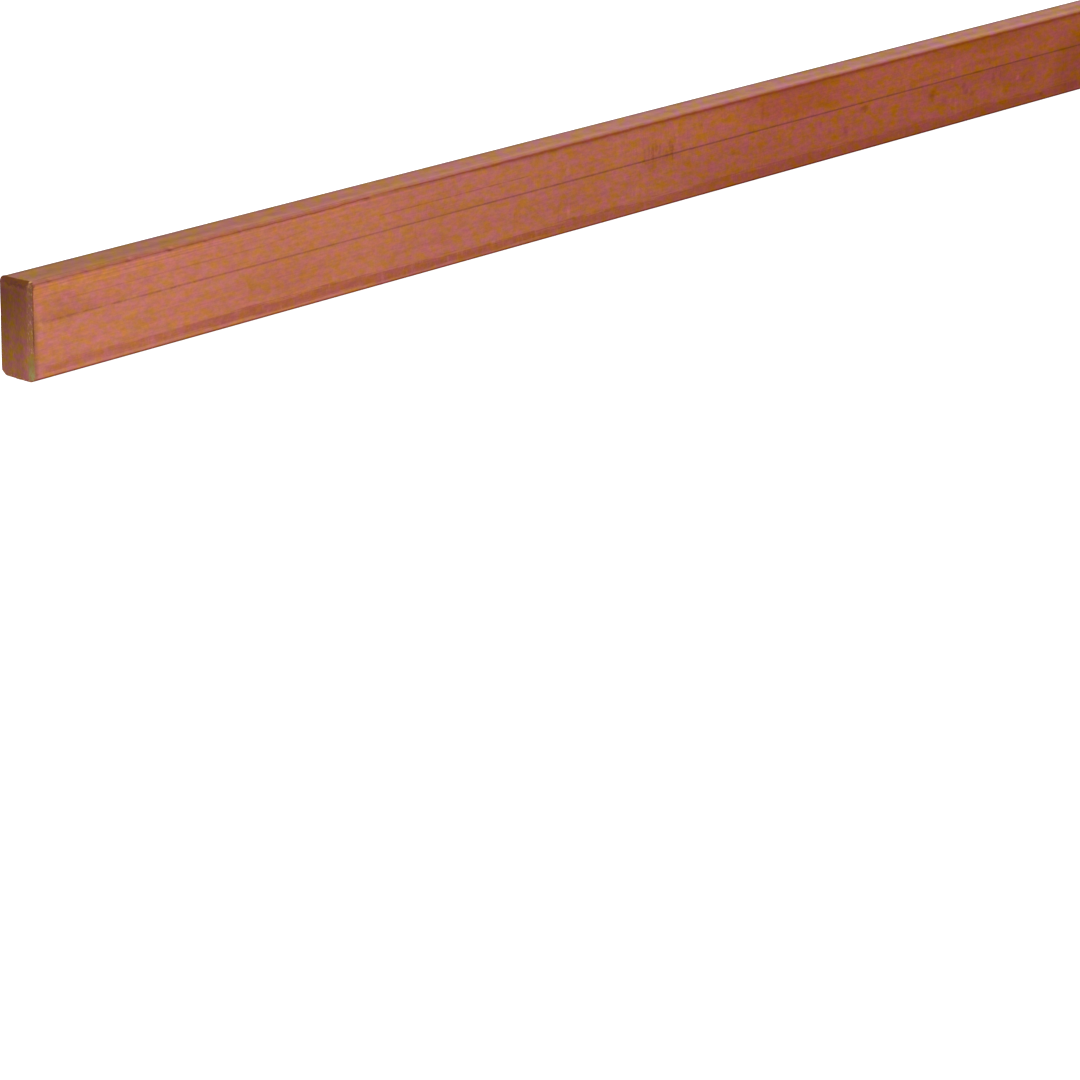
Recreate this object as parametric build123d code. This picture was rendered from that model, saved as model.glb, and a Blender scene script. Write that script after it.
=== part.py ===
from build123d import *
import os

# Rectangular copper busbar, in millimetres. X runs along the bar, Y through its
# thickness and Z up its width: the bar stands on one of its narrow faces. The
# origin is the middle of the face that it stands on.

LENGTH = 1000.0
WIDTH = 20.0
THICKNESS = 10.0

# Rounding that the die leaves on the four long edges.
EDGE_RADIUS = 1.6

# Bevel that is filed round each sawn end.
END_BEVEL = 0.7


def drawn_section():
    """The bar's cross-section, a rectangle with its four corners rounded."""
    outline = RectangleRounded(THICKNESS, WIDTH, EDGE_RADIUS)
    return Plane.YZ.offset(-LENGTH / 2) * Pos(0, WIDTH / 2) * outline


def sawn_ends(bar):
    """The two end faces, one at each end of the length."""
    return bar.faces().sort_by(Axis.X)[0], bar.faces().sort_by(Axis.X)[-1]


def make_busbar():
    """The section drawn to length, with a filed bevel round both ends."""
    bar = extrude(drawn_section(), LENGTH)
    end_edges = [edge for face in sawn_ends(bar) for edge in face.edges()]
    return chamfer(end_edges, END_BEVEL)


os.makedirs("parts", exist_ok=True)
export_step(make_busbar(), "parts/busbar.step")
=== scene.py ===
import math

import bpy
import numpy as np
from mathutils import Matrix, Vector


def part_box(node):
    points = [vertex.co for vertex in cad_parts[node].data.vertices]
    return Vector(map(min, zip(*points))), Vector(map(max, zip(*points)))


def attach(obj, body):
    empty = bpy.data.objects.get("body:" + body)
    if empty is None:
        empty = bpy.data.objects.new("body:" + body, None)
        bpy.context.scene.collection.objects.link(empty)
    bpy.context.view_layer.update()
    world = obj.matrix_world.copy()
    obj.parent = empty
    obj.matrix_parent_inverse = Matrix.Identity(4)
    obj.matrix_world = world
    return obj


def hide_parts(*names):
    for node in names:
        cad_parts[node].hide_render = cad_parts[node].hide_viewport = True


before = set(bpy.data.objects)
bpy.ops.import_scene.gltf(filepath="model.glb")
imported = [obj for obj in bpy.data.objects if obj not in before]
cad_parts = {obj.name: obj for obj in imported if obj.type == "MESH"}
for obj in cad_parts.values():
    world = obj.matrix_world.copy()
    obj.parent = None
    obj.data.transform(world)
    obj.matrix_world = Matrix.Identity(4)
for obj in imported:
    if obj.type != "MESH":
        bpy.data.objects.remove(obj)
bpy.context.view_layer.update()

NODE = "busbar"

# Metres, in the CAD frame: X along the bar, Y through its thickness, Z up its width.
MM = 0.001
LOW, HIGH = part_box(NODE)
NEAR_END = LOW[0]
LENGTH = HIGH[0] - LOW[0]
THICKNESS = HIGH[1] - LOW[1]
WIDTH = HIGH[2] - LOW[2]
EDGE_RADIUS = 1.6 * MM
END_BEVEL = 0.7 * MM


# Camera

IMAGE_PIXELS = 1080
FOCAL_PIXELS = 4535
CAMERA_FROM_NEAR_END = Vector((-562.5, -638.15, 242.69)) * MM
CAMERA_AZIMUTH = -48.25
CAMERA_ELEVATION = 18.07
CAMERA_ROLL = -0.15


def add_camera():
    """Looks at the near end from its left, a little above, through a long lens."""
    data = bpy.data.cameras.new("camera")
    data.sensor_width = 36
    data.lens = data.sensor_width * FOCAL_PIXELS / IMAGE_PIXELS
    data.clip_start = 0.01
    data.clip_end = 50
    camera = bpy.data.objects.new("camera", data)
    bpy.context.collection.objects.link(camera)
    camera.location = Vector((NEAR_END, 0, 0)) + CAMERA_FROM_NEAR_END
    azimuth = math.radians(CAMERA_AZIMUTH)
    elevation = math.radians(CAMERA_ELEVATION)
    flat = math.cos(elevation)
    back = Vector((math.sin(azimuth) * flat, -math.cos(azimuth) * flat, math.sin(elevation)))
    level = (-back).to_track_quat("-Z", "Y").to_matrix()
    roll = Matrix.Rotation(math.radians(CAMERA_ROLL), 3, "Z")
    camera.rotation_mode = "QUATERNION"
    camera.rotation_quaternion = (level @ roll).to_quaternion()
    bpy.context.scene.camera = camera


# Relief that the die and the rolls leave along the bar. Heights are above the base.

DIE_LINE_HEIGHT = 11.79 * MM
DIE_LINE_HALF = 0.17 * MM
DIE_LINE_DEPTH = 0.05 * MM
DIE_LINE_START = 20 * MM
DIE_LINE_WIDTH_WAVE = 23 * MM
DIE_LINE_DEPTH_WAVE = 9 * MM
FAINT_LINE_HEIGHT = 15.33 * MM
FAINT_LINE_HALF = 0.10 * MM
FAINT_LINE_DEPTH = 0.015 * MM
FAINT_LINE_WAVE = 110 * MM
ROLL_MARK_HEIGHT = 2.3 * MM
ROLL_MARK_HALF = 1.05 * MM
ROLL_MARK_DEPTH = 0.03 * MM
ROLL_MARK_WANDER = 0.12 * MM
ROLL_MARK_WAVE = 60 * MM

# Dents in the front top edge: distance from the near end, half length, depth.
EDGE_NICKS = [
    (5.5 * MM, 1.0 * MM, 0.08 * MM),
    (15.5 * MM, 1.2 * MM, 0.06 * MM),
    (26.5 * MM, 1.6 * MM, 0.10 * MM),
    (37.7 * MM, 1.3 * MM, 0.14 * MM),
    (47.5 * MM, 0.8 * MM, 0.07 * MM),
    (57.0 * MM, 0.8 * MM, 0.07 * MM),
    (94.0 * MM, 1.8 * MM, 0.10 * MM),
    (110.0 * MM, 2.0 * MM, 0.05 * MM),
]
DEEPEST_NICK = max(deep for place, half, deep in EDGE_NICKS)


def bump(distance, reach):
    """1 in the middle of a mark, falling smoothly to 0 at its reach."""
    share = np.clip(1 - (distance / reach) ** 2, 0, 1)
    return share ** 2


def waves(places, length, seed):
    """A slow wave along the bar from -1 to 1, of three lengths of wave that don't repeat together."""
    rng = np.random.default_rng(seed)
    shifts = rng.uniform(0, 2 * math.pi, 3)
    parts = [math.sqrt(k) * places / length + shift for k, shift in zip((1, 2.7, 7.1), shifts)]
    return sum(np.sin(2 * math.pi * part) for part in parts) / len(parts)


# Section

ARC_STEPS = 7
FLAT_ROWS = 9
CLOSEST_ROWS = 0.04 * MM
COLUMNS = 12


def section_rows():
    """The section's rows from its base up, each as the height that it turns about and its slope's angle."""
    low = EDGE_RADIUS
    high = WIDTH - EDGE_RADIUS
    heights = set(np.linspace(low, high, FLAT_ROWS).tolist())
    for height, half in ((DIE_LINE_HEIGHT, DIE_LINE_HALF), (FAINT_LINE_HEIGHT, FAINT_LINE_HALF)):
        heights |= {height + half * k for k in (-1, -0.5, 0, 0.5, 1)}
    heights |= {ROLL_MARK_HEIGHT + ROLL_MARK_HALF * k for k in (-0.5, 0, 0.5, 1)}
    flat = []
    for height in sorted(heights):
        if not flat or height - flat[-1] > CLOSEST_ROWS:
            flat.append(height)
    turns = [math.radians(90 * k / ARC_STEPS) for k in range(1, ARC_STEPS + 1)]
    bottom = [(low, -turn) for turn in reversed(turns)]
    top = [(high, turn) for turn in turns]
    return np.array(bottom + [(height, 0) for height in flat] + top)


ROWS = section_rows()
COLUMN_SHARES = np.linspace(-1, 1, COLUMNS)


def section(inset):
    """Y and Z of the section's grid of points, for an outline moved in by inset."""
    turned = EDGE_RADIUS - inset
    half = THICKNESS / 2 - EDGE_RADIUS + turned * np.cos(ROWS[:, 1])
    across = half[:, None] * COLUMN_SHARES[None, :]
    up = ROWS[:, 0] + turned * np.sin(ROWS[:, 1])
    return across, np.broadcast_to(up[:, None], across.shape)


def outline():
    """Row and column of each point round the section, from the middle of the base."""
    last_row = len(ROWS) - 1
    last_column = COLUMNS - 1
    middle = COLUMNS // 2
    left = [(row, 0) for row in range(1, last_row)]
    right = [(row, last_column) for row in range(last_row - 1, 0, -1)]
    top = [(last_row, column) for column in range(COLUMNS)]
    base = [(0, column) for column in range(COLUMNS)]
    return base[middle::-1] + left + top + right + base[:middle:-1]


RING = outline()
RING_ROWS = np.array([row for row, column in RING])
RING_COLUMNS = np.array([column for row, column in RING])
RING_SIDES = np.sign(COLUMN_SHARES[RING_COLUMNS])
INSIDE_RING = np.ones((len(ROWS), COLUMNS), bool)
INSIDE_RING[RING_ROWS, RING_COLUMNS] = False


def outward():
    """Y and Z of the outward direction at each point round the section."""
    turns = ROWS[RING_ROWS, 1]
    on_side = (RING_COLUMNS == 0) | (RING_COLUMNS == COLUMNS - 1)
    across = np.where(on_side, np.cos(turns) * RING_SIDES, 0)
    return across, np.sin(turns)


# Lengthwise stations: how far each stretch of them reaches from the near end, and their distance in it

FINE_REACH = 60 * MM
FINE_STEP = 0.5 * MM
SEEN_REACH = 350 * MM
SEEN_STEP = 1 * MM
PLAIN_STEP = 2.5 * MM

# Distance of the first and the last from the ends, and how far a stretch stops short of the next one's start.
FROM_ENDS = 1.2 * MM
SHORT_OF = 0.1 * MM

# Steps over the bevel of each end.
BEVEL_STEPS = 4


def stations():
    """Distances from the near end, past its bevel and short of the far one: fine where the camera is near."""
    last = LENGTH - FROM_ENDS
    fine = np.arange(FROM_ENDS, FINE_REACH - SHORT_OF, FINE_STEP)
    seen = np.arange(FINE_REACH, SEEN_REACH - SHORT_OF, SEEN_STEP)
    plain = np.arange(SEEN_REACH, last - SHORT_OF, PLAIN_STEP)
    return np.concatenate([fine, seen, plain, [last]])


def relief(along, height):
    """How far the surface stands out of the drawn section at each station and point of the ring."""
    front = RING_SIDES < 0
    turns = ROWS[RING_ROWS, 1]
    on_edge = (turns > 0) & (RING_COLUMNS == 0)
    depth = np.zeros(along.shape)
    half = DIE_LINE_HALF * (1 + 0.15 * waves(along, DIE_LINE_WIDTH_WAVE, 1))
    line = bump(height - DIE_LINE_HEIGHT, half) * np.clip(0.4 + along / DIE_LINE_START, 0, 1)
    line = line * (1 + 0.25 * waves(along, DIE_LINE_DEPTH_WAVE, 5))
    depth += front * DIE_LINE_DEPTH * line
    fade = np.clip(0.55 + waves(along, FAINT_LINE_WAVE, 2), 0, 1)
    depth += front * FAINT_LINE_DEPTH * fade * bump(height - FAINT_LINE_HEIGHT, FAINT_LINE_HALF)
    wander = ROLL_MARK_WANDER * waves(along, ROLL_MARK_WAVE, 3)
    depth += front * ROLL_MARK_DEPTH * bump(height - ROLL_MARK_HEIGHT - wander, ROLL_MARK_HALF)
    for place, half, deep in EDGE_NICKS:
        depth += on_edge * deep * np.sin(2 * turns) * bump(along - place, half)
    return -depth


# Near end: a saw cut out of square, with a filed edge

CUT_OVER_THICKNESS = 0.48 * MM
CUT_OVER_WIDTH = 0.41 * MM
CUT_FADE = 20 * MM


def saw_cut(across, up):
    """How far the cut leans away from square at a point of the section, 0 at the corner left longest."""
    return CUT_OVER_THICKNESS * (across / THICKNESS + 0.5) + CUT_OVER_WIDTH * up / WIDTH


# The near edge is filed less over the front, and further along the bar at the front top corner.
FRONT_FILED_LESS = 0.4
CORNER_FILED_MORE = 0.65
FILED_REACH = 2.4 * MM
END_RAGGED = 0.05 * MM
END_RAGGED_REACH = 1.3 * MM
END_RAGGED_WAVE = 4.1 * MM
BACK_BURR = 0.22 * MM
FULL_FOOT = 0.22 * MM
FULL_FOOT_HALF = 3.6 * MM


def filed_shares():
    """Depth and length of the near edge's bevel at each point of the ring, against END_BEVEL."""
    turns = ROWS[RING_ROWS, 1]
    deep = 1 - FRONT_FILED_LESS * (RING_COLUMNS == 0) * np.cos(turns) ** 2
    to_front = np.clip((0.2 - COLUMN_SHARES[RING_COLUMNS]) / 1.2, 0, 1)
    more = CORNER_FILED_MORE * to_front * np.clip(np.sin(turns), 0, 1) ** 2
    return deep, deep + more


def end_wear(along, round_it):
    """How far the filed near edge stands out of an even bevel: ragged, burred behind, less filed below."""
    reach = bump(along, END_RAGGED_REACH)
    ragged = END_RAGGED * waves(round_it, END_RAGGED_WAVE, 4) * reach
    turns = ROWS[RING_ROWS, 1]
    corner = (turns > 0) & (RING_COLUMNS == COLUMNS - 1)
    burr = corner * BACK_BURR * np.sin(2 * turns)
    across = COLUMN_SHARES[RING_COLUMNS] * THICKNESS / 2
    full = (RING_ROWS == 0) * FULL_FOOT * bump(across, FULL_FOOT_HALF)
    return ragged + (burr + full) * reach


# The end faces' inner rows are drawn in to this share of the width, clear of the ragged edge.
INNER_SHARE = 0.985


def bar_points():
    """Grids of the near end, the sides and the far end, as points of the CAD frame."""
    out_y, out_z = outward()
    across, up = section(0)
    ring_y = across[RING_ROWS, RING_COLUMNS]
    ring_z = up[RING_ROWS, RING_COLUMNS]
    share = np.linspace(0, 1, BEVEL_STEPS + 1)
    near = END_BEVEL * share
    far = LENGTH - END_BEVEL * share[::-1]
    along = np.concatenate([near, stations(), far])
    deep, long = filed_shares()
    near_inset = np.clip(END_BEVEL - along, 0, None)[:, None] * deep
    far_inset = np.clip(END_BEVEL - LENGTH + along, 0, None)[:, None]
    places = np.broadcast_to(along[:, None], (len(along), len(RING)))
    stand = relief(places, ring_z[None, :]) - near_inset - far_inset
    stand += end_wear(places, round_the_section()[:-1])
    stand = np.where(RING_ROWS == 0, np.minimum(stand, 0), stand)
    side_y = ring_y + out_y * stand
    side_z = ring_z + out_z * stand
    lean = np.clip(1 - places / CUT_FADE, 0, 1) ** 2 * saw_cut(side_y, side_z)
    filed = np.interp(places, [0, END_BEVEL, FILED_REACH], [0, END_BEVEL, 0]) * (long - 1)
    sides = np.stack([NEAR_END + places + lean + filed, side_y, side_z], -1)

    cap_y, cap_z = section(END_BEVEL)
    cap_z = WIDTH / 2 + (cap_z - WIDTH / 2) * INNER_SHARE
    near_x = NEAR_END + saw_cut(cap_y, cap_z)
    near_cap = np.stack([near_x, cap_y, cap_z], -1)
    far_cap = np.stack([np.full(cap_y.shape, NEAR_END + LENGTH), cap_y, cap_z], -1)
    near_cap[RING_ROWS, RING_COLUMNS] = sides[0]
    far_cap[RING_ROWS, RING_COLUMNS] = sides[-1]
    return near_cap, sides, far_cap, places


# Bake map: the sides in four rows of a quarter of the length each, the ends in a fifth

SHEET = 252 * MM
SHEET_MARGIN = 1.5 * MM
SHEET_ROWS = 4


def round_the_section():
    """Distance round the section at each point of the ring, and all the way round."""
    across, up = section(0)
    ring = np.stack([across[RING_ROWS, RING_COLUMNS], up[RING_ROWS, RING_COLUMNS]], -1)
    steps = np.linalg.norm(np.roll(ring, -1, 0) - ring, axis=1)
    return np.concatenate([[0], np.cumsum(steps)])


def end_ids(ring_start, inner_start):
    """The number of the mesh's point at each place of an end's grid."""
    ids = np.empty((len(ROWS), COLUMNS), int)
    ids[RING_ROWS, RING_COLUMNS] = ring_start + np.arange(len(RING))
    ids[INSIDE_RING] = inner_start + np.arange(INSIDE_RING.sum())
    return ids


def side_faces(places, round_it):
    """Quads of the sides, and their corners on the bake map."""
    count = len(RING)
    quarter = LENGTH / SHEET_ROWS
    faces = []
    corners = []
    for ring in range(len(places) - 1):
        row = min(int((places[ring, 0] + places[ring + 1, 0]) / 2 / quarter), SHEET_ROWS - 1)
        near_u = places[ring, 0] - row * quarter + SHEET_MARGIN / 2
        far_u = places[ring + 1, 0] - row * quarter + SHEET_MARGIN / 2
        low_v = SHEET_MARGIN + row * (round_it[-1] + SHEET_MARGIN)
        for i in range(count):
            j = (i + 1) % count
            near = ring * count
            far = near + count
            faces.append((near + i, far + i, far + j, near + j))
            here = low_v + round_it[i]
            there = low_v + round_it[i + 1]
            corners += [(near_u, here), (far_u, here), (far_u, there), (near_u, there)]
    return faces, corners


def end_faces(ids, cap, start_u, middle_v, turned):
    """Quads of one end, and their corners on the bake map."""
    faces = []
    corners = []
    for r in range(len(ROWS) - 1):
        for c in range(COLUMNS - 1):
            loop = [(r, c), (r, c + 1), (r + 1, c + 1), (r + 1, c)]
            if turned:
                loop.reverse()
            faces.append(tuple(int(ids[place]) for place in loop))
            corners += [(start_u + cap[place][2], middle_v + cap[place][1]) for place in loop]
    return faces, corners


# Degrees between two faces from which the edge between them is shaded sharp.
SHARP_ANGLE = 30


def make_busbar():
    """The whole bar as one closed mesh of quads, with its bake map."""
    near_cap, sides, far_cap, places = bar_points()
    round_it = round_the_section()
    side_total = sides.shape[0] * len(RING)
    near_ids = end_ids(0, side_total)
    far_ids = end_ids(side_total - len(RING), side_total + INSIDE_RING.sum())
    points = np.concatenate([sides.reshape(-1, 3), near_cap[INSIDE_RING], far_cap[INSIDE_RING]])

    ends_v = SHEET_MARGIN + SHEET_ROWS * (round_it[-1] + SHEET_MARGIN) + THICKNESS / 2
    far_u = SHEET_MARGIN + WIDTH + SHEET_MARGIN
    faces, corners = side_faces(places, round_it)
    near_end = end_faces(near_ids, near_cap, SHEET_MARGIN, ends_v, True)
    far_end = end_faces(far_ids, far_cap, far_u, ends_v, False)
    for end in (near_end, far_end):
        faces += end[0]
        corners += end[1]

    mesh = bpy.data.meshes.new(NODE)
    mesh.from_pydata(points.tolist(), [], faces)
    layer = mesh.uv_layers.new(name="OFBake")
    layer.data.foreach_set("uv", (np.array(corners) / SHEET).ravel())
    mesh.shade_smooth()
    mesh.set_sharp_from_angle(angle=math.radians(SHARP_ANGLE))
    piece = bpy.data.objects.new("copper_bar", mesh)
    bpy.context.collection.objects.link(piece)
    return piece


# Materials

class Shader:
    """One material's nodes, with a short call for each kind that it uses."""

    def __init__(self, name):
        self.material = bpy.data.materials.new(name)
        self.material.use_nodes = True
        self.tree = self.material.node_tree
        self.surface = self.tree.nodes["Principled BSDF"]
        self.place = self.add("ShaderNodeTexCoord").outputs["Object"]
        parts = self.add("ShaderNodeSeparateXYZ", Vector=self.place)
        self.x, self.y, self.z = parts.outputs

    def add(self, kind, **inputs):
        node = self.tree.nodes.new(kind)
        for name, value in inputs.items():
            self.plug(node.inputs[name], value)
        return node

    def plug(self, socket, value):
        if isinstance(value, bpy.types.NodeSocket):
            self.tree.links.new(value, socket)
        else:
            socket.default_value = value

    def math(self, operation, a, b=0.0):
        node = self.tree.nodes.new("ShaderNodeMath")
        node.operation = operation
        self.plug(node.inputs[0], a)
        self.plug(node.inputs[1], b)
        return node.outputs[0]

    def times(self, first, *others):
        for other in others:
            first = self.math("MULTIPLY", first, other)
        return first

    def plus(self, first, *others):
        for other in others:
            first = self.math("ADD", first, other)
        return first

    def vector(self, operation, a, b):
        node = self.tree.nodes.new("ShaderNodeVectorMath")
        node.operation = operation
        self.plug(node.inputs[0], a)
        self.plug(node.inputs[1], b)
        return node.outputs["Value" if operation == "LENGTH" else "Vector"]

    def ramp(self, value, start, end, low=0.0, high=1.0):
        """low at start and high at end, with a smooth step between them."""
        node = self.tree.nodes.new("ShaderNodeMapRange")
        node.interpolation_type = "SMOOTHSTEP"
        flip = start > end
        numbers = (end, start, high, low) if flip else (start, end, low, high)
        self.plug(node.inputs["Value"], value)
        for name, number in zip(("From Min", "From Max", "To Min", "To Max"), numbers):
            node.inputs[name].default_value = number
        return node.outputs["Result"]

    def near(self, value, middle, half):
        """1 at the middle, falling smoothly to 0 at half away."""
        away = self.math("ABSOLUTE", self.math("SUBTRACT", value, middle))
        return self.ramp(self.math("DIVIDE", away, half), 1.0, 0.0)

    def inside(self, value, start, end, soft):
        """1 between start and end, falling to 0 over a soft edge outside them."""
        return self.times(self.ramp(value, start - soft, start), self.ramp(value, end + soft, end))

    def noise(self, size, detail=2.0, roughness=0.5, seed=0.0, output="Fac", where=None):
        """Soft patches of about this size, one length for each axis."""
        shift = self.vector("DIVIDE", self.place if where is None else where, size)
        shift = self.vector("ADD", shift, (seed, seed * 1.7, seed * 2.3))
        node = self.add("ShaderNodeTexNoise", Vector=shift)
        for name, value in (("Scale", 1.0), ("Detail", detail), ("Roughness", roughness)):
            node.inputs[name].default_value = value
        return node.outputs[output]

    def spread(self, size, low, high, seed, detail=2.0, roughness=0.6):
        """A value between low and high that varies in soft patches of this size."""
        return self.ramp(self.noise(size, detail, roughness, seed), 0.25, 0.75, low, high)

    def mix(self, share, a, b, blend="MIX"):
        """Colour a with this share of colour b over it."""
        node = self.tree.nodes.new("ShaderNodeMix")
        node.data_type = "RGBA"
        node.blend_type = blend
        self.plug(node.inputs["Factor"], share)
        sockets = [s for s in node.inputs if s.type == "RGBA"]
        for socket, value in zip(sockets, (a, b)):
            self.plug(socket, value if isinstance(value, bpy.types.NodeSocket) else (*value, 1.0))
        return [s for s in node.outputs if s.type == "RGBA"][0]

    def tint(self, share, colour, by):
        """The colour multiplied by a tint, as far as the share goes."""
        return self.mix(share, colour, by, "MULTIPLY")

    def patchwork(self, patches, a, b):
        """Colour a where the patches are low and b where they are high."""
        return self.mix(self.ramp(patches, 0.25, 0.75), a, b)

    def shade(self, colour, amount):
        """The colour made lighter or darker by an amount that varies about 1."""
        node = self.tree.nodes.new("ShaderNodeVectorMath")
        node.operation = "SCALE"
        self.plug(node.inputs[0], colour)
        self.plug(node.inputs["Scale"], amount)
        return node.outputs["Vector"]

    def vary(self, colour, change):
        """The colour made lighter or darker by a change that varies about 0."""
        return self.shade(colour, self.plus(change, 1.0))


# The copper's colour on the broad faces, at places from the nearer end: lighter towards the ends, partly
# cleaner where it was handled and partly a painted fall-off of light.
COPPER_AND_LIGHT_ALONG = [
    (0 * MM, (0.369, 0.129, 0.077)),
    (85 * MM, (0.338, 0.115, 0.061)),
    (120 * MM, (0.306, 0.100, 0.058)),
    (170 * MM, (0.276, 0.086, 0.046)),
    (240 * MM, (0.237, 0.062, 0.030)),
    (350 * MM, (0.211, 0.053, 0.0235)),
]
NARROW_NEAR = (0.248, 0.104, 0.062)
NARROW_AWAY = (0.268, 0.092, 0.052)
NARROW_REACH = 85 * MM

# Tints, which multiply the colour under them: the front's upper half, the painted highlight strip, the oxide
# film.
UPPER_AWAY = (1.0, 1.0, 0.88)
FRONT_HIGHLIGHT_NEAR = (1.13, 1.18, 1.06)
FRONT_HIGHLIGHT_AWAY = (1.14, 1.28, 1.75)
OCHRE = (0.985, 1.125, 0.10)
MAUVE = (1.018, 0.875, 1.90)
ROSY = (1.03, 0.96, 1.0)
BROWNISH = (0.97, 1.04, 1.0)

# How far a point is turned from a broad face towards a narrow one: |height from the middle| - |y|.
TURN_START = WIDTH / 2 - THICKNESS / 2 - EDGE_RADIUS
TURN_END = WIDTH / 2 - THICKNESS / 2 + EDGE_RADIUS


def turned_share(s):
    """0 on the broad faces, 1 on the narrow ones, rising round the edges between them."""
    height = s.math("ABSOLUTE", s.math("SUBTRACT", s.z, WIDTH / 2))
    turn = s.math("SUBTRACT", height, s.math("ABSOLUTE", s.y))
    return s.ramp(turn, TURN_START + 0.9 * MM, TURN_END)


def broad_tone(s, from_end):
    """Colour of the broad faces, which darkens away from the ends: partly tarnish, partly a painted fall-off
    of light.
    """
    colour = COPPER_AND_LIGHT_ALONG[0][1]
    for (start, _), (end, tone) in zip(COPPER_AND_LIGHT_ALONG, COPPER_AND_LIGHT_ALONG[1:]):
        colour = s.mix(s.ramp(from_end, start, end), colour, tone)
    high = s.times(s.ramp(s.z, 6 * MM, 14 * MM), s.ramp(from_end, 110 * MM, 220 * MM, -0.03, 0.035))
    colour = s.vary(colour, high)
    upper = s.times(s.ramp(s.z, 11 * MM, 14 * MM), s.ramp(from_end, 130 * MM, 220 * MM))
    return s.tint(upper, colour, UPPER_AWAY)


def narrow_tone(s, from_end):
    """Colour of the narrow faces, with painted shade at their back and in a soft stripe along their middle,
    and a painted highlight towards their front.
    """
    # Painted shade darkens the back of the narrow faces and a painted highlight lightens their front.
    across = s.plus(
        s.ramp(s.y, 3.2 * MM, 1.7 * MM, 0.70, 1.0),
        s.ramp(s.y, -1 * MM, -3 * MM, 0.0, 0.08),
        s.ramp(from_end, 35 * MM, 65 * MM, 0.0, 0.045),
        s.ramp(from_end, 140 * MM, 230 * MM, 0.0, -0.05),
    )
    # Painted shade in a soft stripe along the middle of the narrow faces.
    dip = s.times(s.near(s.y, -0.8 * MM, 1.6 * MM), s.ramp(from_end, 100 * MM, 250 * MM, 0.07, 0.13))
    colour = s.mix(s.ramp(from_end, 0, NARROW_REACH), NARROW_NEAR, NARROW_AWAY)
    return s.shade(colour, s.math("SUBTRACT", across, dip))


def copper_tone(s, along, narrow):
    """The copper's even colour, from the nearer end to the middle of the bar."""
    from_end = s.math("MINIMUM", along, s.math("SUBTRACT", LENGTH, along))
    return s.mix(narrow, broad_tone(s, from_end), narrow_tone(s, from_end))


def front_half(s):
    """1 on the half of the bar towards the front."""
    return s.ramp(s.y, -0.3 * MM, -1.3 * MM)


def round_edge(s):
    """Height plus Y, which falls all the way from the top face's back, round its front edge, to the base."""
    return s.plus(s.z, s.y)


def front_highlight_strip(s, colour, along):
    """A painted highlight: the pale strip of the top next to its front edge."""
    turn = round_edge(s)
    highlight_strip = s.times(s.ramp(turn, 18.2 * MM, 16.6 * MM), s.ramp(turn, 15.2 * MM, 15.9 * MM))
    highlight_strip = s.times(highlight_strip, front_half(s))
    tint = s.mix(s.ramp(along, 20 * MM, 110 * MM), FRONT_HIGHLIGHT_NEAR, FRONT_HIGHLIGHT_AWAY)
    return s.tint(highlight_strip, colour, tint)


# Lean of the patches: along the bar with depth, and up with distance along. They grow away from the near end.
PATCH_SIZE = (2.4 * MM, 6.0 * MM, 1.75 * MM)
PATCH_LEAN_DEEP = 0.85
PATCH_LEAN_UP = 0.17
PATCH_GROWTH_REACH = 350 * MM
PATCH_GROWTH_ALONG = 0.30
PATCH_GROWTH_UP = 0.10


def film_patches(s, along):
    """Uneven oxide film, from 0 where it is ochre to 1 where it is mauve."""
    grown = s.math("MINIMUM", s.math("DIVIDE", along, PATCH_GROWTH_REACH), 1.0)
    back = s.times(grown, grown, -PATCH_GROWTH_ALONG * PATCH_GROWTH_REACH / 2)
    down = s.times(grown, s.z, -PATCH_GROWTH_UP)
    where = s.vector("ADD", s.place, s.shade((-PATCH_LEAN_DEEP, 0, 0), s.y))
    where = s.vector("ADD", where, s.shade((0, 0, PATCH_LEAN_UP), s.x))
    where = s.vector("ADD", where, s.shade((1, 0, 0), back))
    where = s.vector("ADD", where, s.shade((0, 0, 1), down))
    return s.noise(PATCH_SIZE, 1.6, 0.55, where=where)


def tarnish(s, colour, patches, along, narrow):
    """Small patches of ochre and mauve, weaker on the painted highlight strip and where the bar was handled.
    """
    more = s.ramp(along, 50 * MM, 290 * MM, 0.58, 1.0)
    on_highlight_strip = s.times(narrow, s.ramp(s.y, -1.2 * MM, -2.8 * MM), 0.45)
    more = s.times(more, s.math("SUBTRACT", 1.0, on_highlight_strip))
    colour = s.tint(more, colour, s.patchwork(patches, OCHRE, MAUVE))
    warmth = s.noise((3.2 * MM, 3.2 * MM, 2.0 * MM), 2.0, 0.6, 2.0)
    return s.tint(1.0, colour, s.patchwork(warmth, ROSY, BROWNISH))


def drawn_grain(s, colour, along, narrow):
    """Fine scratches along the bar from the die, a few across it from handling, and fine speckle."""
    colour = s.shade(colour, s.spread((40 * MM, 0.16 * MM, 0.16 * MM), 0.955, 1.045, 3.0))
    streaks = s.noise((20 * MM, 0.6 * MM, 0.6 * MM), 2.0, 0.6, 4.0)
    streaks = s.times(s.ramp(streaks, 0.3, 0.7, -0.055, 0.055), narrow)
    colour = s.vary(colour, streaks)
    strokes = s.noise((0.5 * MM, 6 * MM, 4 * MM), 2.0, 0.6, 5.0)
    groups = s.noise((9 * MM, 9 * MM, 5 * MM), 1.0, 0.5, 6.0)
    strokes = s.times(s.ramp(strokes, 0.3, 0.7, -0.045, 0.045), s.ramp(groups, 0.45, 0.65))
    strokes = s.times(strokes, s.ramp(along, 30 * MM, 150 * MM, 0.3, 1.0))
    colour = s.vary(colour, strokes)
    colour = s.shade(colour, s.spread((2.2 * MM, 2.2 * MM, 0.7 * MM), 0.925, 1.075, 7.0))
    return s.shade(colour, s.spread((0.5 * MM, 0.5 * MM, 0.4 * MM), 0.955, 1.045, 8.0, 1.0, 0.5))


# Tint of the top of the front next to the near end.
HIGH_NEAR_END = (1.01, 1.02, 0.76)


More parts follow.
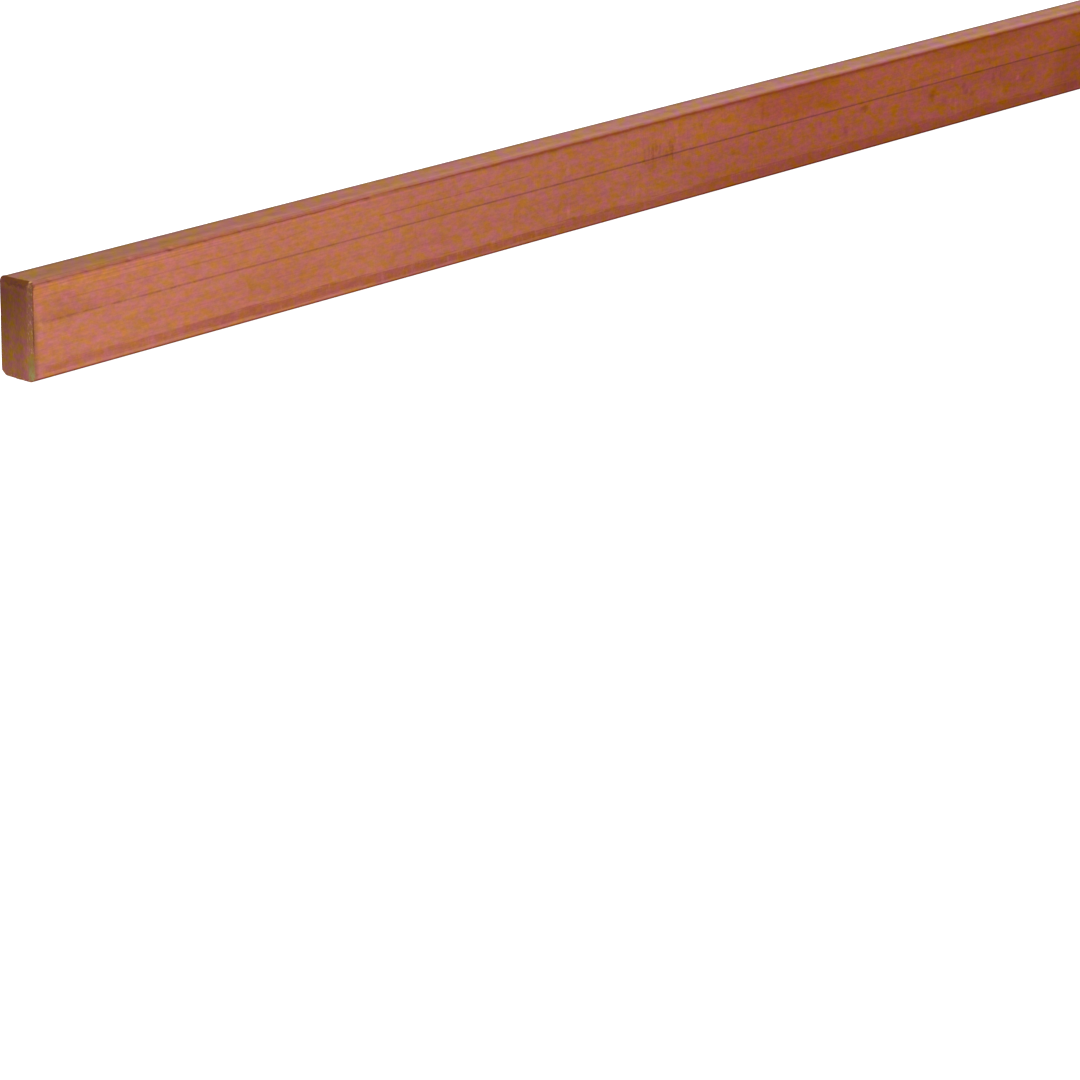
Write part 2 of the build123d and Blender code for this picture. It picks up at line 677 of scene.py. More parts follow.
def high_scratches(s, colour, along, front):
    """Bolder scratches along the top of the front, which is yellower close to the near end."""
    high = s.times(front, s.inside(s.z, 16.9 * MM, 19.0 * MM, 0.4 * MM))
    scratches = s.noise((60 * MM, 0.25 * MM, 0.25 * MM), 2.0, 0.6, 9.0)
    scratches = s.times(s.ramp(scratches, 0.3, 0.7, -0.10, 0.10), high)
    scratches = s.times(scratches, s.ramp(along, 140 * MM, 30 * MM))
    colour = s.vary(colour, scratches)
    return s.tint(s.times(high, s.ramp(along, 38 * MM, 10 * MM)), colour, HIGH_NEAR_END)


# Half the width of the dark film in the two lines, and its tints.
DIE_LINE_DARK_HALF = 0.34 * MM
DIE_LINE_TINT = (0.70, 0.63, 0.66)
DIE_LINE_AWAY = (0.80, 0.80, 0.86)
FAINT_LINE_DARK_HALF = 0.26 * MM
FAINT_LINE_TINT = (0.76, 0.68, 0.66)


def main_die_line(s, colour, along, front, uneven):
    """The line that runs along the whole front, uneven at first."""
    kept = s.ramp(along, 20 * MM, 60 * MM, 0.0, 0.85)
    kept = s.math("MAXIMUM", s.ramp(uneven, 0.38, 0.62, 0.35, 1.0), kept)
    line = s.near(s.z, DIE_LINE_HEIGHT, DIE_LINE_DARK_HALF)
    line = s.times(line, front, s.ramp(along, 1.5 * MM, 6 * MM), kept)
    line = s.times(line, s.ramp(along, 4 * MM, 40 * MM, 0.75, 1.0))
    colour = s.tint(line, colour, DIE_LINE_TINT)
    return s.tint(s.times(line, s.ramp(along, 90 * MM, 200 * MM)), colour, DIE_LINE_AWAY)


def faint_die_line(s, colour, along, front, uneven):
    """The fainter line above it, in two stretches, the first of which wanders up at its end."""
    rise = s.times(s.ramp(along, 62 * MM, 78 * MM, 0.0, 1.0 * MM), s.ramp(along, 79 * MM, 78 * MM))
    line = s.near(s.math("SUBTRACT", s.z, rise), FAINT_LINE_HEIGHT, FAINT_LINE_DARK_HALF)
    line = s.times(line, front, s.ramp(uneven, 0.3, 0.6, 0.5, 1.0))
    early = s.inside(along, 12 * MM, 72 * MM, 7 * MM)
    late = s.inside(along, 98.8 * MM, 142 * MM, 3 * MM)
    reach = s.math("MAXIMUM", s.times(early, 0.55), s.times(late, 0.9))
    return s.tint(s.times(line, reach), colour, FAINT_LINE_TINT)


def die_lines(s, colour, along, front):
    """The dark lines that two nicks in the die draw along the front."""
    uneven = s.noise((3 * MM, 6 * MM, 6 * MM), 2.0, 0.6, 11.0)
    colour = main_die_line(s, colour, along, front, uneven)
    return faint_die_line(s, colour, along, front, uneven)


# The dark line along the front top edge, partly film and partly a painted dark reflection: where it runs, by
# round_edge, how wide it is, and its colours, with a painted highlight below it and painted shade in its
# dents.
EDGE_LINE_FIRST = 14.85 * MM
EDGE_LINE_SECOND = 15.38 * MM
EDGE_LINE_BREAK = 94.8 * MM
EDGE_LINE_THIN = 0.34 * MM
EDGE_LINE_THICK = 0.85 * MM
EDGE_LINE_TINT = (0.78, 0.56, 0.46)
EDGE_LINE_AWAY = (1.03, 0.90, 0.75)
EDGE_GLOW = (0.98, 0.84, 0.90)
EDGE_HIGHLIGHT = (1.18, 1.13, 1.25)
EDGE_DENT_SHADE = (0.74, 0.60, 0.56)


def first_edge_line(s, along, turn, knots):
    """The thin knotty stretch of the edge line, from the near end to its break."""
    dip = s.ramp(along, 55 * MM, 78 * MM, 0.0, 0.17 * MM)
    middle = s.math("SUBTRACT", s.ramp(along, 80 * MM, 95 * MM, 0.0, 0.40 * MM), dip)
    middle = s.plus(middle, EDGE_LINE_FIRST, knots)
    line = s.times(s.near(turn, middle, EDGE_LINE_THIN), s.ramp(along, 20 * MM, 75 * MM, 0.6, 1.0))
    return s.times(line, s.ramp(along, EDGE_LINE_BREAK + 0.2 * MM, EDGE_LINE_BREAK - 0.2 * MM))


def second_edge_line(s, along, turn, knots):
    """The stretch past the break, which thickens."""
    fall = s.ramp(along, 100 * MM, 118 * MM, 0.0, 0.36 * MM)
    middle = s.math("SUBTRACT", s.ramp(along, 135 * MM, 150 * MM, 0.0, 0.03 * MM), fall)
    middle = s.plus(middle, EDGE_LINE_SECOND, knots)
    half = s.ramp(along, 112 * MM, 148 * MM, EDGE_LINE_THIN, EDGE_LINE_THICK)
    return s.times(s.near(turn, middle, half), s.ramp(along, 96 * MM, 106 * MM))


def edge_dents(s, along, turn):
    """A mask of the nicks in the front top edge, where shade is painted."""
    dents = 0.0
    for place, half, deep in EDGE_NICKS:
        dents = s.math("MAXIMUM", s.times(s.near(along, place, half), deep / DEEPEST_NICK), dents)
    return s.times(dents, s.near(turn, EDGE_LINE_FIRST, 0.8 * MM))


def edge_line(s, colour, along):
    """The dark line along the front top edge, partly film and partly a painted dark reflection, with reddish
    copper and a painted highlight beside it, and painted shade in its dents.
    """
    turn = round_edge(s)
    here = front_half(s)
    knots = s.noise((4 * MM, 8 * MM, 8 * MM), 2.0, 0.6, 13.0)
    knots = s.ramp(knots, 0.3, 0.7, -0.10 * MM, 0.10 * MM)
    first = first_edge_line(s, along, turn, knots)
    second = second_edge_line(s, along, turn, knots)
    colour = s.tint(s.times(s.math("MAXIMUM", first, second), here), colour, EDGE_LINE_TINT)
    colour = s.tint(s.times(second, here, s.ramp(along, 120 * MM, 170 * MM)), colour, EDGE_LINE_AWAY)
    glow = s.times(s.near(turn, 15.3 * MM, 0.7 * MM), s.inside(along, 25 * MM, 130 * MM, 20 * MM))
    colour = s.tint(s.times(glow, here, 0.7), colour, EDGE_GLOW)
    # Painted highlight just below the edge line, near the near end.
    edge_highlight = s.times(s.near(turn, 14.1 * MM, 0.5 * MM), here, s.ramp(along, 150 * MM, 120 * MM))
    colour = s.tint(edge_highlight, colour, EDGE_HIGHLIGHT)
    # Painted shade in the dents of the edge.
    return s.tint(s.times(edge_dents(s, along, turn), here), colour, EDGE_DENT_SHADE)


# Tints of painted shade on the edges at the foot and at the back of the top.
FOOT_SHADE = (0.78, 0.73, 0.86)
FOOT_SHADE_AWAY = (0.84, 0.70, 0.62)
FOOT_SHADE_FAR = (0.90, 0.78, 0.58)
ABOVE_FOOT_SHADE = (0.84, 0.77, 0.70)
BACK_EDGE_SHADE = (0.70, 0.72, 0.80)
BACK_TOP_SHADE = (0.90, 0.92, 0.76)


def foot_shade_share(s):
    """1 on the lowest part of the edges that the bar stands on, where shade is painted."""
    return s.ramp(s.z, 0.86 * MM, 0.60 * MM)


def back_edge_shade_share(s):
    """1 round the back top edge, where shade is painted."""
    return s.times(s.ramp(s.y, 2.6 * MM, 4.0 * MM), s.ramp(s.z, 19.4 * MM, 19.8 * MM))


def back_top_shade_share(s, along):
    """1 on the back of the top face, where shade is painted away from the near end."""
    back = s.times(s.ramp(s.y, 0.8 * MM, 3.0 * MM), s.ramp(s.z, 19.4 * MM, 19.8 * MM))
    return s.times(back, s.ramp(along, 90 * MM, 180 * MM))


def painted_edge_shade(s, colour, along):
    """Painted shade on the edge that the bar stands on, and on its back top edge."""
    foot = foot_shade_share(s)
    colour = s.tint(foot, colour, FOOT_SHADE)
    colour = s.tint(s.times(foot, s.ramp(along, 50 * MM, 200 * MM)), colour, FOOT_SHADE_AWAY)
    colour = s.tint(s.times(foot, s.ramp(along, 150 * MM, 320 * MM)), colour, FOOT_SHADE_FAR)
    shade_above = s.times(s.ramp(s.z, 1.10 * MM, 0.80 * MM), s.ramp(along, 110 * MM, 260 * MM))
    colour = s.tint(shade_above, colour, ABOVE_FOOT_SHADE)
    colour = s.tint(back_edge_shade_share(s), colour, BACK_EDGE_SHADE)
    return s.tint(back_top_shade_share(s, along), colour, BACK_TOP_SHADE)


# Tints of the paler foot, and of the band over it.
FOOT_PALE_NEAR = (1.09, 1.17, 1.15)
FOOT_PALE_AWAY = (1.03, 1.04, 0.86)
ROLL_BAND = (0.80, 0.67, 0.65)


def roll_band_share(s, along):
    """1 on the band, between its streaky upper side and its lower one, both of which sink along the bar."""
    streaks = s.spread((13 * MM, 5 * MM, 0.32 * MM), -1.0, 1.0, 17.0)
    wave = s.noise((16 * MM, 16 * MM, 16 * MM), 1.0, 0.5, 18.0)
    height = s.plus(
        s.z,
        s.times(streaks, s.ramp(along, 110 * MM, 180 * MM, 0.45, 0.8), 1 * MM),
        s.ramp(wave, 0.3, 0.7, -0.25 * MM, 0.25 * MM),
        s.ramp(along, 60 * MM, 40 * MM, -0.15 * MM, 0.12 * MM),
    )
    sink = s.plus(
        s.ramp(along, 90 * MM, 160 * MM, 0.0, 0.7 * MM),
        s.ramp(along, 185 * MM, 230 * MM, 0.0, -0.25 * MM),
    )
    top = s.ramp(s.plus(height, sink), 3.75 * MM, 3.05 * MM)
    low = s.plus(height, s.ramp(along, 45 * MM, 70 * MM, 0.0, 0.45 * MM))
    base = s.math("MAXIMUM", s.ramp(low, 1.25 * MM, 2.05 * MM), s.ramp(along, 130 * MM, 175 * MM))
    return s.times(top, base)


def roll_band(s, colour, along, front):
    """The darker band low on the front that the straightening rolls leave, and the paler foot under it."""
    strength = s.ramp(along, 20 * MM, 65 * MM, 0.65, 1.0)
    strength = s.times(strength, s.ramp(along, 140 * MM, 190 * MM, 1.0, 0.72))
    strokes = s.noise((1.0 * MM, 6 * MM, 3 * MM), 2.0, 0.6, 19.0)
    strength = s.times(strength, s.ramp(along, 2.5 * MM, 4.5 * MM), s.ramp(strokes, 0.30, 0.45, 0.55, 1.0))
    colour = s.tint(s.times(roll_band_share(s, along), front, strength), colour, ROLL_BAND)
    pale = s.times(s.inside(s.z, 0.9 * MM, 1.25 * MM, 0.3 * MM), s.ramp(s.y, -3.6 * MM, -4.3 * MM))
    return s.tint(pale, colour, s.mix(s.ramp(along, 120 * MM, 260 * MM), FOOT_PALE_NEAR, FOOT_PALE_AWAY))


# Marks on the front: place along the bar, height, half length and half height in millimetres, and strength.
DARK_SPOTS = [
    (10.0, 11.8, 1.0, 0.5, 0.5),
    (8.0, 14.2, 5.0, 2.6, 0.30),
    (13.5, 12.8, 3.0, 1.2, 0.25),
    (23.2, 11.8, 0.9, 0.35, 0.4),
    (201.4, 16.4, 0.5, 0.5, 0.5),
    (212.7, 8.4, 0.8, 0.5, 0.4),
    (223.0, 15.5, 0.6, 1.8, 0.5),
    (244.4, 9.5, 0.7, 0.8, 0.4),
    (247.9, 7.1, 0.7, 0.7, 0.4),
    (253.9, 6.2, 0.9, 1.3, 0.7),
    (260.8, 10.3, 1.3, 0.7, 0.9),
    (274.8, 14.4, 0.5, 0.6, 0.5),
    (287.0, 9.0, 1.3, 1.1, 0.9),
    (291.5, 6.9, 1.6, 1.2, 0.35),
    (299.6, 9.0, 0.7, 1.1, 0.6),
    (300.6, 7.8, 0.8, 0.9, 0.7),
    (302.8, 6.8, 0.9, 0.7, 0.5),
    (311.4, 9.2, 0.7, 1.2, 0.6),
    (314.3, 9.6, 0.5, 1.0, 0.4),
    (309.7, 13.3, 0.5, 0.4, 0.6),
    (323.9, 7.4, 0.6, 0.6, 0.5),
    (331.3, 1.9, 0.7, 0.5, 0.7),
]
CLOUDS = [
    (312.0, 18.0, 14.0, 1.8, 0.45),
    (292.0, 18.2, 9.0, 1.4, 0.45),
    (70.0, 7.6, 14.0, 3.0, 0.35),
    (110.0, 7.3, 95.0, 1.9, 0.16),
    (345.0, 8.0, 8.0, 7.0, 0.70),
    (286.0, 13.6, 8.0, 0.5, 0.5),
    (307.0, 14.0, 7.0, 0.4, 0.4),
    (205.0, 7.0, 18.0, 4.0, 0.2),
    (187.0, 10.5, 7.0, 1.6, 0.35),
    (321.0, 9.0, 9.0, 3.0, 0.30),
    (310.0, 10.3, 30.0, 1.4, 0.40),
    (17.0, 12.9, 9.0, 1.2, 0.30),
    (6.5, 12.1, 4.5, 0.6, 0.40),
]
PALE_FLECKS = [
    (9.0, 18.3, 0.5, 0.3, 0.5),
    (9.3, 15.4, 0.5, 0.4, 0.5),
    (1.0, 15.3, 0.25, 0.35, 0.9),
    (2.4, 11.6, 0.5, 0.4, 0.6),
    (3.0, 10.9, 0.4, 0.3, 0.6),
    (17.3, 3.9, 0.4, 0.4, 0.5),
    (32.0, 2.1, 0.6, 0.35, 0.6),
    (55.8, 2.9, 0.8, 0.7, 0.5),
    (88.5, 3.5, 0.5, 0.5, 0.4),
    (132.0, 2.6, 0.6, 0.9, 0.6),
    (156.3, 14.4, 0.5, 1.2, 0.5),
    (156.4, 5.0, 0.6, 1.3, 0.7),
    (172.8, 17.3, 0.6, 2.0, 0.4),
    (179.5, 5.5, 0.5, 1.2, 0.4),
    (192.5, 17.5, 0.9, 1.8, 0.35),
    (294.8, 13.8, 0.6, 1.8, 0.45),
    (296.4, 4.6, 0.5, 1.7, 0.6),
    (314.8, 5.2, 0.6, 1.6, 0.6),
    (321.4, 7.8, 0.5, 0.6, 0.9),
]
SMUDGE = [
    (181.8, 13.0, 0.45, 1.6, 0.45),
    (183.3, 13.6, 0.40, 1.5, 0.55),
    (184.6, 12.8, 0.50, 1.8, 0.90),
    (185.9, 14.0, 0.50, 1.1, 0.65),
    (187.2, 13.4, 0.50, 1.4, 0.65),
    (188.3, 13.0, 0.40, 1.2, 0.50),
    (189.4, 12.2, 0.50, 1.3, 0.75),
    (190.6, 13.8, 0.40, 1.4, 0.65),
    (191.3, 12.6, 0.50, 2.0, 0.90),
    (192.0, 14.6, 0.40, 1.3, 0.50),
    (184.9, 10.3, 1.40, 1.2, 0.35),
    (187.0, 12.6, 7.00, 2.4, 0.25),
]

# Tints of the marks, and where the wide cloud is.
CLOUD_TINT = (0.78, 0.68, 0.66)
SPOT_TINT = (0.74, 0.64, 0.60)
SMUDGE_TINT = (0.74, 0.64, 0.66)
FLECK_TINT = (1.22, 1.30, 1.35)
WIDE_CLOUD_TINT = (0.93, 0.85, 0.80)
CLOUD_START = 222 * MM
CLOUD_END = 252 * MM
CLOUD_HEIGHT = 15.5 * MM


def marks(s, where, soft, ragged):
    """A mask of all the marks of one list, each an ellipse with a ragged outline."""
    mask = 0.0
    for along, height, half_length, half_height, strength in where:
        off = s.vector("SUBTRACT", ragged, (NEAR_END + along * MM, -THICKNESS / 2, height * MM))
        off = s.vector("DIVIDE", off, (half_length * MM, 1.0, half_height * MM))
        away = s.vector("LENGTH", off, (0, 0, 0))
        mask = s.math("MAXIMUM", s.ramp(away, 1.0 + soft, 1.0 - soft, 0.0, strength), mask)
    return mask


def dark_cloud(s, colour, along, front):
    """A wide cloud of thicker film under the top edge, with a slanting near side."""
    lean = s.times(s.math("SUBTRACT", s.z, CLOUD_HEIGHT), 2.2)
    wave = s.noise((6 * MM, 6 * MM, 6 * MM), 2.0, 0.6, 27.0)
    place = s.plus(along, lean, s.ramp(wave, 0.3, 0.7, -4 * MM, 4 * MM))
    cloud = s.times(s.ramp(place, CLOUD_START - 4 * MM, CLOUD_START + 4 * MM), front)
    cloud = s.times(cloud, s.ramp(along, CLOUD_END + 8 * MM, CLOUD_END - 8 * MM))
    cloud = s.times(cloud, s.ramp(s.z, 12.4 * MM, 14.0 * MM))
    return s.tint(cloud, colour, WIDE_CLOUD_TINT)


def handling_marks(s, colour, front):
    """Dark spots and clouds, a smudge of short strokes and a few pale flecks on the front."""
    wobble = s.noise((1.2 * MM, 1.2 * MM, 1.2 * MM), 2.0, 0.6, 23.0, "Color")
    wobble = s.vector("MULTIPLY", s.vector("SUBTRACT", wobble, (0.5, 0.5, 0.5)), (1.6 * MM, 0.0, 1.6 * MM))
    ragged = s.vector("ADD", s.place, wobble)
    for where, soft, tint in (
        (CLOUDS, 0.5, CLOUD_TINT),
        (DARK_SPOTS, 0.7, SPOT_TINT),
        (SMUDGE, 0.7, SMUDGE_TINT),
        (PALE_FLECKS, 0.7, FLECK_TINT),
    ):
        colour = s.tint(s.times(marks(s, where, soft, ragged), front), colour, tint)
    return colour


# Colours and tints of the sawn ends, their edges and the stain at the near one.
END_BROWN_HIGH = (0.146, 0.052, 0.026)
END_BROWN_LOW = (0.252, 0.098, 0.051)
END_OLIVE = (0.96, 1.19, 0.12)
END_PLUM = (1.03, 0.82, 1.88)
END_DARK_RED = (0.122, 0.037, 0.010)
END_SHADOW = (0.66, 0.56, 0.80)
VERDIGRIS = (0.235, 0.205, 0.085)
VERDIGRIS_OLIVE = (0.20, 0.145, 0.035)
FRESH_EDGE = (0.50, 0.28, 0.17)
# A painted highlight on the near end's filed top corner.
CORNER_HIGHLIGHT = (0.46, 0.26, 0.11)
FACE_END_SHADE = (0.66, 0.73, 0.60)
BEHIND_EDGE = (0.62, 0.50, 0.46)


def sawn_depth(s, along):
    """Depth behind the sawn end, with the near end's lean taken off and a ragged line left in."""
    lean_y = s.times(s.plus(s.math("DIVIDE", s.y, THICKNESS), 0.5), CUT_OVER_THICKNESS)
    lean_z = s.times(s.math("DIVIDE", s.z, WIDTH), CUT_OVER_WIDTH)
    in_near = s.math("SUBTRACT", along, s.plus(lean_y, lean_z))
    corner = s.times(s.ramp(s.y, 1 * MM, -3.6 * MM), s.ramp(s.z, 18.4 * MM, 19.6 * MM), CORNER_FILED_MORE)
    size = s.plus(s.ramp(s.y, -4.1 * MM, -4.6 * MM, 1.0, 1 - FRONT_FILED_LESS), corner)
    in_near = s.math("DIVIDE", in_near, size)
    in_far = s.math("SUBTRACT", LENGTH, along)
    deep = s.math("MINIMUM", in_near, in_far)
    ragged = s.noise((0.6 * MM, 0.6 * MM, 0.6 * MM), 2.0, 0.6, 31.0)
    return s.plus(deep, s.ramp(ragged, 0.3, 0.7, -0.08 * MM, 0.08 * MM))


def near_point(s, middle, size):
    """1 in the middle of an ellipsoid, falling to 0 just outside it."""
    off = s.vector("DIVIDE", s.vector("SUBTRACT", s.place, middle), size)
    return s.ramp(s.vector("LENGTH", off, (0, 0, 0)), 1.15, 0.2)


def sawn_face(s, near):
    """Dull brown saw cut in olive and plum patches, paler low down and darker at the near end's back."""
    brown = s.mix(s.ramp(s.z, 19 * MM, 0 * MM), END_BROWN_HIGH, END_BROWN_LOW)
    back_strip = s.times(s.ramp(s.y, 4.0 * MM, 4.8 * MM), s.ramp(near, 0, 1, 0.12, 0.34))
    across = s.plus(
        s.math("SUBTRACT", 0.80, back_strip),
        s.ramp(s.y, 3.0 * MM, 0.5 * MM, 0.0, 0.10),
        s.ramp(s.y, -1 * MM, -3.4 * MM, 0.0, 0.14),
        s.times(s.ramp(s.z, 9 * MM, 3 * MM), s.ramp(s.y, 0, 4 * MM, 0.0, 0.06)),
    )
    brown = s.shade(brown, s.math("MAXIMUM", across, s.ramp(s.z, 15 * MM, 18.5 * MM, 0.0, 0.98)))
    patches = s.noise((2.4 * MM, 2.1 * MM, 1.5 * MM), 2.0, 0.55, 37.0)
    brown = s.tint(1.0, brown, s.patchwork(patches, END_OLIVE, END_PLUM))
    return s.shade(brown, s.spread((0.5 * MM, 0.45 * MM, 0.9 * MM), 0.90, 1.10, 41.0))


def sawn_edges(s, brown, specks):
    """The cut's filed edges: bright specks at the front and the foot, dark red film along the top."""
    front_bevel = s.times(s.ramp(s.y, -3.2 * MM, -4.0 * MM), s.ramp(s.z, 1 * MM, 9 * MM, 0.3, 1.0))
    brown = s.mix(s.times(front_bevel, s.ramp(specks, 0.52, 0.68, 0.06, 0.38)), brown, FRESH_EDGE)
    jagged = s.noise((0.9 * MM, 0.9 * MM, 0.9 * MM), 2.0, 0.7, 44.0)
    height = s.plus(s.z, s.ramp(jagged, 0.3, 0.7, -0.35 * MM, 0.35 * MM))
    under = s.times(s.inside(height, 18.75 * MM, 19.2 * MM, 0.3 * MM), s.ramp(s.y, -4.0 * MM, -3.5 * MM))
    brown = s.tint(s.times(under, s.ramp(s.y, 4.2 * MM, 2.5 * MM, 0.2, 0.75)), brown, END_SHADOW)
    brown = s.mix(s.times(s.ramp(height, 19.2 * MM, 19.6 * MM), 0.75), brown, END_DARK_RED)
    foot = s.times(s.ramp(s.z, 0.9 * MM, 0.5 * MM), s.ramp(specks, 0.50, 0.60, 0.0, 0.7))
    return s.mix(foot, brown, FRESH_EDGE)


def beside_cut(s, colour, deep):
    """The front next to the cut: a thin dark line on the edge, then duller copper."""
    on_front = s.ramp(s.y, -4.5 * MM, -4.9 * MM)
    behind = s.times(s.inside(deep, 0.75 * MM, 1.05 * MM, 0.2 * MM), s.ramp(s.z, 4 * MM, 9 * MM), on_front)
    colour = s.tint(behind, colour, BEHIND_EDGE)
    beside = s.times(s.ramp(deep, 3.4 * MM, 1.0 * MM), s.ramp(s.z, 17 * MM, 9 * MM, 0.25, 1.0), on_front)
    return s.tint(s.times(beside, s.ramp(deep, 0.6 * MM, 0.8 * MM)), colour, FACE_END_SHADE)


def near_end_marks(s, colour, near, specks):
    """The near end's filed top corner with a painted highlight, and the green stain up its lower front edge.
    """
    corner = near_point(s, (NEAR_END + 1.5 * MM, -3.75 * MM, 19.9 * MM), (0.6 * MM, 0.4 * MM, 0.3 * MM))
    colour = s.mix(s.times(corner, near), colour, CORNER_HIGHLIGHT)
    stain = near_point(s, (NEAR_END + 0.1 * MM, -4.7 * MM, 3.7 * MM), (0.8 * MM, 1.3 * MM, 2.6 * MM))
    colour = s.mix(s.times(stain, s.ramp(specks, 0.35, 0.6, 0.5, 0.95)), colour, VERDIGRIS_OLIVE)
    green = near_point(s, (NEAR_END + 0.1 * MM, -4.8 * MM, 1.3 * MM), (0.9 * MM, 1.4 * MM, 2.4 * MM))
    return s.mix(s.times(green, s.ramp(specks, 0.35, 0.6, 0.3, 0.95)), colour, VERDIGRIS)


def sawn_colour(s, colour, along, share, deep):
    """The colour of both sawn ends, and of what is next to them."""
    near = s.ramp(along, 3 * MM, 2 * MM)
    specks = s.noise((0.35 * MM, 0.35 * MM, 0.7 * MM), 2.0, 0.6, 43.0)
    colour = s.mix(share, colour, sawn_edges(s, sawn_face(s, near), specks))
    colour = beside_cut(s, colour, deep)
    return near_end_marks(s, colour, near, specks)


# Colours that the copper takes at a low angle, and their tints, the last three of which are painted shade at
# the foot and the back top edge.
SHEEN_NEAR = (0.75, 0.59, 0.47)
SHEEN_AWAY = (0.87, 0.67, 0.60)
SHEEN_OCHRE = (1.0, 1.045, 0.79)
SHEEN_MAUVE = (1.0, 0.935, 1.19)
SHEEN_REACH = 200 * MM
SHEEN_FOOT_SHADE = (0.59, 0.52, 0.45)
SHEEN_BACK_SHADE_NEAR = (0.70, 0.74, 0.75)
SHEEN_BACK_SHADE_AWAY = (0.50, 0.52, 0.40)


def grazing_sheen(s, along, patches):
    """The colour that the copper takes at a low angle: paler than its own, patchy like its film, and with
    painted shade at the foot and the back top edge.
    """
    sheen = s.mix(s.ramp(along, 0, SHEEN_REACH), SHEEN_NEAR, SHEEN_AWAY)
    sheen = s.tint(1.0, sheen, s.patchwork(patches, SHEEN_OCHRE, SHEEN_MAUVE))
    sheen = s.tint(foot_shade_share(s), sheen, SHEEN_FOOT_SHADE)
    back_edge_shade = s.mix(s.ramp(along, 90 * MM, 260 * MM), SHEEN_BACK_SHADE_NEAR, SHEEN_BACK_SHADE_AWAY)
    return s.tint(back_edge_shade_share(s), sheen, back_edge_shade)


def surface_relief(s, sawn):
    """Fine die scratches along the bar and saw marks on its ends, too shallow to model."""
    lines = s.noise((30 * MM, 0.18 * MM, 0.18 * MM), 2.0, 0.6, 53.0)
    teeth = s.noise((0.25 * MM, 0.25 * MM, 2.5 * MM), 2.0, 0.6, 59.0)
    relief = s.add("ShaderNodeBump", Height=s.plus(s.times(lines, 0.35), s.times(teeth, sawn)))
    relief.inputs["Strength"].default_value = 0.25
    relief.inputs["Distance"].default_value = 0.05 * MM
    return relief.outputs["Normal"]


def copper_material():
    """Drawn copper, dulled by air and handling."""
    s = Shader("bare_copper")
    along = s.math("SUBTRACT", s.x, NEAR_END)
    front = s.ramp(s.y, -THICKNESS / 2 + 0.35 * MM, -THICKNESS / 2 + 0.02 * MM)
    narrow = turned_share(s)
    patches = film_patches(s, along)
    deep = sawn_depth(s, along)
    sawn = s.ramp(deep, 0.95 * MM, 0.55 * MM)

    colour = copper_tone(s, along, narrow)
    colour = front_highlight_strip(s, colour, along)
    colour = tarnish(s, colour, patches, along, narrow)
    colour = drawn_grain(s, colour, along, narrow)
    colour = high_scratches(s, colour, along, front)
    colour = die_lines(s, colour, along, front)
    colour = edge_line(s, colour, along)
    colour = painted_edge_shade(s, colour, along)
    colour = roll_band(s, colour, along, front)
    colour = dark_cloud(s, colour, along, front)
    colour = handling_marks(s, colour, front)
    colour = sawn_colour(s, colour, along, sawn, deep)

    dull = s.noise((5 * MM, 3 * MM, 3 * MM), 3.0, 0.6, 47.0)
    roughness = s.ramp(dull, 0.3, 0.7, 0.33, 0.41)
    s.surface.inputs["Metallic"].default_value = 1.0
    s.plug(s.surface.inputs["Base Color"], colour)
    s.plug(s.surface.inputs["Specular Tint"], grazing_sheen(s, along, patches))
    s.plug(s.surface.inputs["Roughness"], s.plus(roughness, s.times(sawn, 0.22)))
    s.plug(s.surface.inputs["Normal"], surface_relief(s, sawn))
    return s.material


# Studio

FLOOR_HALF = 12.0
FLOOR_GREY = 0.3
FLOOR_GLOW = 1.05

# The room's light on its walls and ceiling, and how far up the one ends and the other starts, from 0 to 1.
WALL_LIGHT = 1.45
CEILING_LIGHT = 1.15
WALL_TOP = 0.15
CEILING_START = 0.6

# The overhead light's strength, and the angle in degrees that it fills.
OVERHEAD_LIGHT = 1.6
OVERHEAD_SPREAD = 50


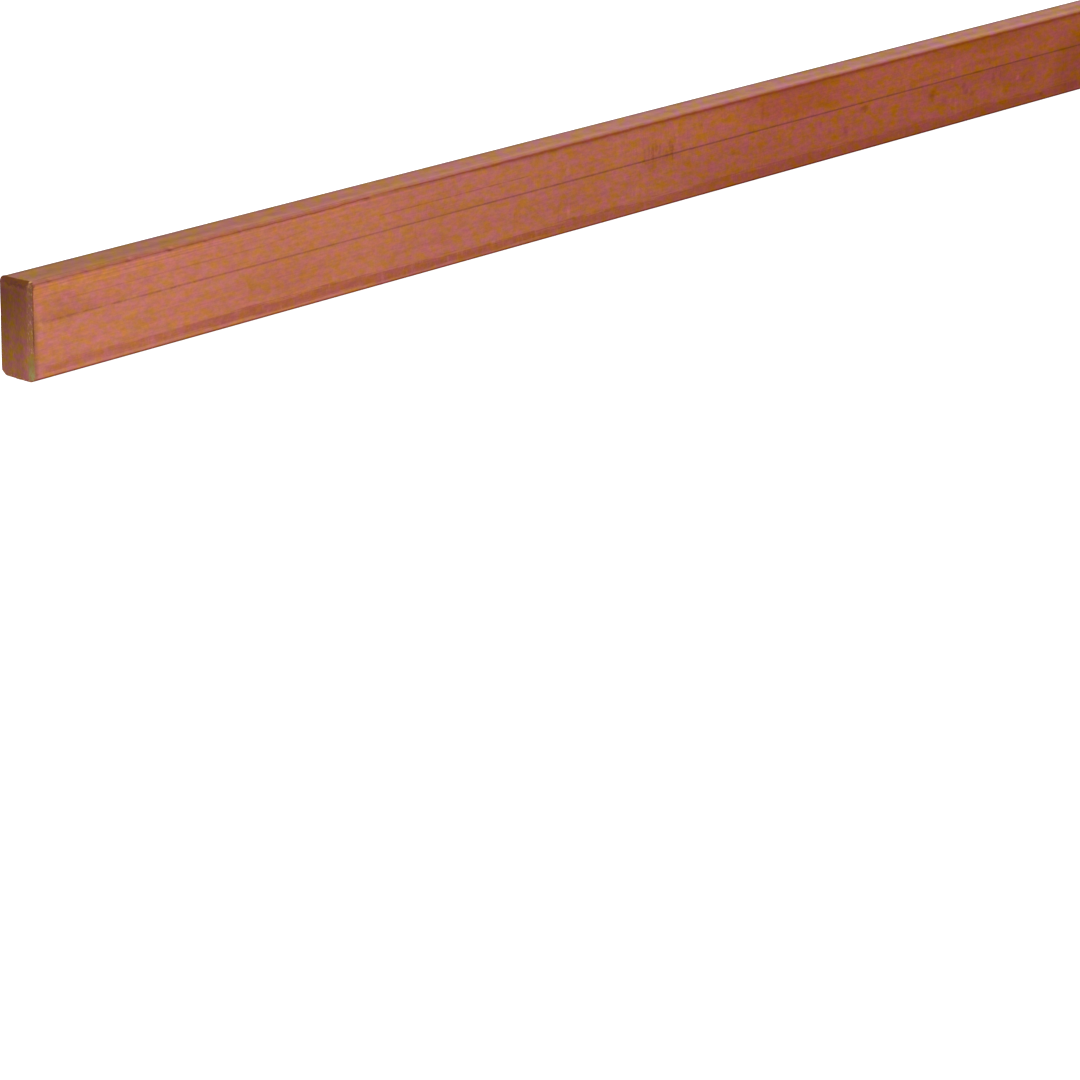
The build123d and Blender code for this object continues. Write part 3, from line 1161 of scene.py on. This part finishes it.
def floor_material():
    """Pale matt floor, lit through from below, so that it lights the bar and takes little shadow."""
    s = Shader("floor")
    s.surface.inputs["Base Color"].default_value = (FLOOR_GREY, FLOOR_GREY, FLOOR_GREY, 1)
    s.surface.inputs["Roughness"].default_value = 1.0
    s.surface.inputs["Specular IOR Level"].default_value = 0.0
    s.surface.inputs["Emission Color"].default_value = (1, 1, 1, 1)
    s.surface.inputs["Emission Strength"].default_value = FLOOR_GLOW
    return s.material


def add_floor():
    """A wide level floor just under the bar."""
    signs = [(-1, -1), (1, -1), (1, 1), (-1, 1)]
    mesh = bpy.data.meshes.new("floor")
    mesh.from_pydata([(x * FLOOR_HALF, y * FLOOR_HALF, LOW[2]) for x, y in signs], [], [(0, 1, 2, 3)])
    mesh.materials.append(floor_material())
    floor = bpy.data.objects.new("floor", mesh)
    bpy.context.collection.objects.link(floor)


def add_world():
    """A pale room: bright walls low down, darker towards the ceiling."""
    world = bpy.data.worlds.new("studio")
    world.use_nodes = True
    tree = world.node_tree
    direction = tree.nodes.new("ShaderNodeTexCoord").outputs["Generated"]
    parts = tree.nodes.new("ShaderNodeSeparateXYZ")
    tree.links.new(direction, parts.inputs[0])
    fall = tree.nodes.new("ShaderNodeMapRange")
    fall.interpolation_type = "SMOOTHSTEP"
    tree.links.new(parts.outputs["Z"], fall.inputs["Value"])
    fall.inputs["From Min"].default_value = WALL_TOP
    fall.inputs["From Max"].default_value = CEILING_START
    fall.inputs["To Min"].default_value = WALL_LIGHT
    fall.inputs["To Max"].default_value = CEILING_LIGHT
    background = tree.nodes["Background"]
    background.inputs["Color"].default_value = (1, 1, 1, 1)
    tree.links.new(fall.outputs["Result"], background.inputs["Strength"])
    bpy.context.scene.world = world


def add_lights():
    """One soft light straight overhead."""
    data = bpy.data.lights.new("overhead", "SUN")
    data.angle = math.radians(OVERHEAD_SPREAD)
    data.energy = OVERHEAD_LIGHT
    light = bpy.data.objects.new("overhead", data)
    bpy.context.collection.objects.link(light)


add_camera()
bar = make_busbar()
bar.data.materials.append(copper_material())
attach(bar, "root")
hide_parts(NODE)
add_floor()
add_world()
add_lights()
bpy.context.scene.view_settings.view_transform = "Standard"
